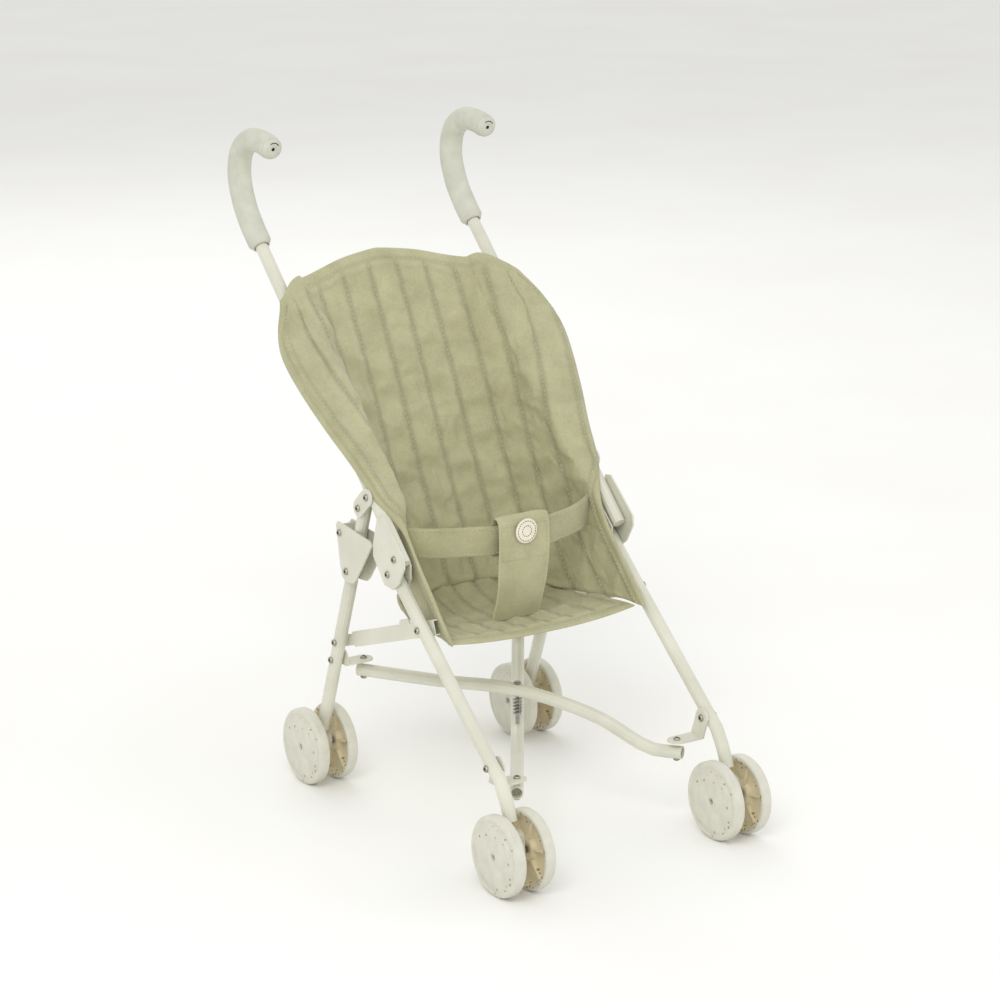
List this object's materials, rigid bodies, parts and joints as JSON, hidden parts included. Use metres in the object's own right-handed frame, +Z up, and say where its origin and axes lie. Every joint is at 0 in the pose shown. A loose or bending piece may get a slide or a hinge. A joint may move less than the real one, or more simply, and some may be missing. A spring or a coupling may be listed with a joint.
{
  "type": "doll stroller",
  "caption": "Folding umbrella stroller for dolls: tubular side frames with crook handles, a quilted fabric sling seat with a waist strap, crossed tubes and twin wheels.",
  "frame": {"origin": "on the ground, under the middle of the stroller", "axes": "+Z up; the stroller faces -Y; +X is to the right when looking along +Y"},
  "size_m": [0.253, 0.4582, 0.5501],
  "materials": {
    "cream_paint": "satin powder coat",
    "grip_foam": "matte",
    "wheel_plastic": "satin moulded, with small speckles",
    "bare_steel": "zinc plated",
    "sage_fabric": "quilted cotton",
    "cream_felt": "matte"
  },
  "bodies": {
    "left_frame": {"left_handle_tube": "cream_paint", "left_grip": "grip_foam", "left_grip_cap": "grip_foam", "left_front_leg": "cream_paint", "left_main_bracket": "cream_paint", "left_ear_bracket": "cream_paint", "left_front_cross_bracket": "cream_paint", "left_front_foot": "wheel_plastic", "left_side_panel": "sage_fabric", "seat_back": "sage_fabric", "seat_base": "sage_fabric", "waist_belt": "sage_fabric"},
    "right_frame": {"right_handle_tube": "cream_paint", "right_grip": "grip_foam", "right_grip_cap": "grip_foam", "right_front_leg": "cream_paint", "right_main_bracket": "cream_paint", "right_ear_bracket": "cream_paint", "right_front_cross_bracket": "cream_paint", "right_front_foot": "wheel_plastic", "right_side_panel": "sage_fabric"},
    "centre_strap": {"crotch_strap": "sage_fabric", "round_badge": "cream_felt"},
    "upper_tube": {"upper_cross_tube": "cream_paint", "centre_bolt": "bare_steel", "centre_spring": "bare_steel"},
    "lower_tube": {"lower_cross_tube": "cream_paint"},
    "left_rear_leg_frame": {"left_rear_leg": "cream_paint", "left_latch_bracket": "cream_paint", "left_rear_cross_bracket": "cream_paint", "left_rear_foot": "wheel_plastic"},
    "left_link": {"left_seat_link": "cream_paint"},
    "left_tongue": {"left_seat_link_tongue": "cream_paint"},
    "left_front_wheels": {"left_front_axle": "bare_steel", "left_front_outer_wheel": "wheel_plastic", "left_front_inner_wheel": "wheel_plastic"},
    "left_rear_wheels": {"left_rear_axle": "bare_steel", "left_rear_outer_wheel": "wheel_plastic", "left_rear_inner_wheel": "wheel_plastic"},
    "right_rear_leg_frame": {"right_rear_leg": "cream_paint", "right_latch_bracket": "cream_paint", "right_rear_cross_bracket": "cream_paint", "right_rear_foot": "wheel_plastic"},
    "right_link": {"right_seat_link": "cream_paint"},
    "right_tongue": {"right_seat_link_tongue": "cream_paint"},
    "right_front_wheels": {"right_front_axle": "bare_steel", "right_front_outer_wheel": "wheel_plastic", "right_front_inner_wheel": "wheel_plastic"},
    "right_rear_wheels": {"right_rear_axle": "bare_steel", "right_rear_outer_wheel": "wheel_plastic", "right_rear_inner_wheel": "wheel_plastic"}
  },
  "joints": [
    {"name": "fold", "type": "slide", "parent": "left_frame", "child": "right_frame", "axis": [-1, 0, 0], "range_m": [0, 0.13], "deforming": ["seat_back", "seat_base", "waist_belt"]},
    {"name": "strap_shift", "type": "slide", "parent": "left_frame", "child": "centre_strap", "axis": [-1, 0, 0], "range_m": [0, 0.06501]},
    {"name": "left_rear_leg_swing", "type": "hinge", "parent": "left_frame", "child": "left_rear_leg_frame", "pos_m": [-0.1065, 0.0199, 0.262], "axis": [1, 0, 0], "range_deg": [0, 16.63]},
    {"name": "left_link_swing", "type": "hinge", "parent": "left_frame", "child": "left_link", "pos_m": [-0.1065, -0.0661, 0.18], "axis": [1, 0, 0], "range_deg": [0, 9.82]},
    {"name": "left_link_slide", "type": "slide", "parent": "left_link", "child": "left_tongue", "axis": [0, 0.9427, -0.3336], "range_m": [0, 0.02926]},
    {"name": "right_rear_leg_swing", "type": "hinge", "parent": "right_frame", "child": "right_rear_leg_frame", "pos_m": [0.1065, 0.0199, 0.262], "axis": [1, 0, 0], "range_deg": [0, 16.63]},
    {"name": "right_link_swing", "type": "hinge", "parent": "right_frame", "child": "right_link", "pos_m": [0.1065, -0.0661, 0.18], "axis": [1, 0, 0], "range_deg": [0, 9.82]},
    {"name": "right_link_slide", "type": "slide", "parent": "right_link", "child": "right_tongue", "axis": [0, 0.9427, -0.3336], "range_m": [0, 0.02926]},
    {"name": "upper_tube_swing", "type": "hinge", "parent": "right_frame", "child": "upper_tube", "pos_m": [0.079, -0.1601, 0.0667], "axis": [0.0916, 0.2084, -0.9737], "range_deg": [0, 28.42]},
    {"name": "lower_tube_swing", "type": "hinge", "parent": "left_frame", "child": "lower_tube", "pos_m": [-0.079, -0.1601, 0.0667], "axis": [0.0916, -0.2084, 0.9737], "range_deg": [0, 28.42]},
    {"name": "left_front_spin", "type": "hinge", "parent": "left_frame", "child": "left_front_wheels", "pos_m": [-0.1065, -0.1961, 0.033], "axis": [1, 0, 0], "continuous": true},
    {"name": "left_rear_spin", "type": "hinge", "parent": "left_rear_leg_frame", "child": "left_rear_wheels", "pos_m": [-0.1065, 0.0999, 0.033], "axis": [1, 0, 0], "continuous": true},
    {"name": "right_front_spin", "type": "hinge", "parent": "right_frame", "child": "right_front_wheels", "pos_m": [0.1065, -0.1961, 0.033], "axis": [1, 0, 0], "continuous": true},
    {"name": "right_rear_spin", "type": "hinge", "parent": "right_rear_leg_frame", "child": "right_rear_wheels", "pos_m": [0.1065, 0.0999, 0.033], "axis": [1, 0, 0], "continuous": true}
  ],
  "couplings": [
    {"joint": "strap_shift", "follows": "fold", "ratio": 0.5},
    {"joint": "left_rear_leg_swing", "follows": "fold", "rad_per_m": 2.232},
    {"joint": "left_link_swing", "follows": "fold", "rad_per_m": 1.3186},
    {"joint": "left_link_slide", "follows": "fold", "ratio": 0.22504},
    {"joint": "right_rear_leg_swing", "follows": "fold", "rad_per_m": 2.232},
    {"joint": "right_link_swing", "follows": "fold", "rad_per_m": 1.3186},
    {"joint": "right_link_slide", "follows": "fold", "ratio": 0.22504},
    {"joint": "upper_tube_swing", "follows": "fold", "rad_per_m": 3.8153},
    {"joint": "lower_tube_swing", "follows": "fold", "rad_per_m": 3.8153}
  ]
}
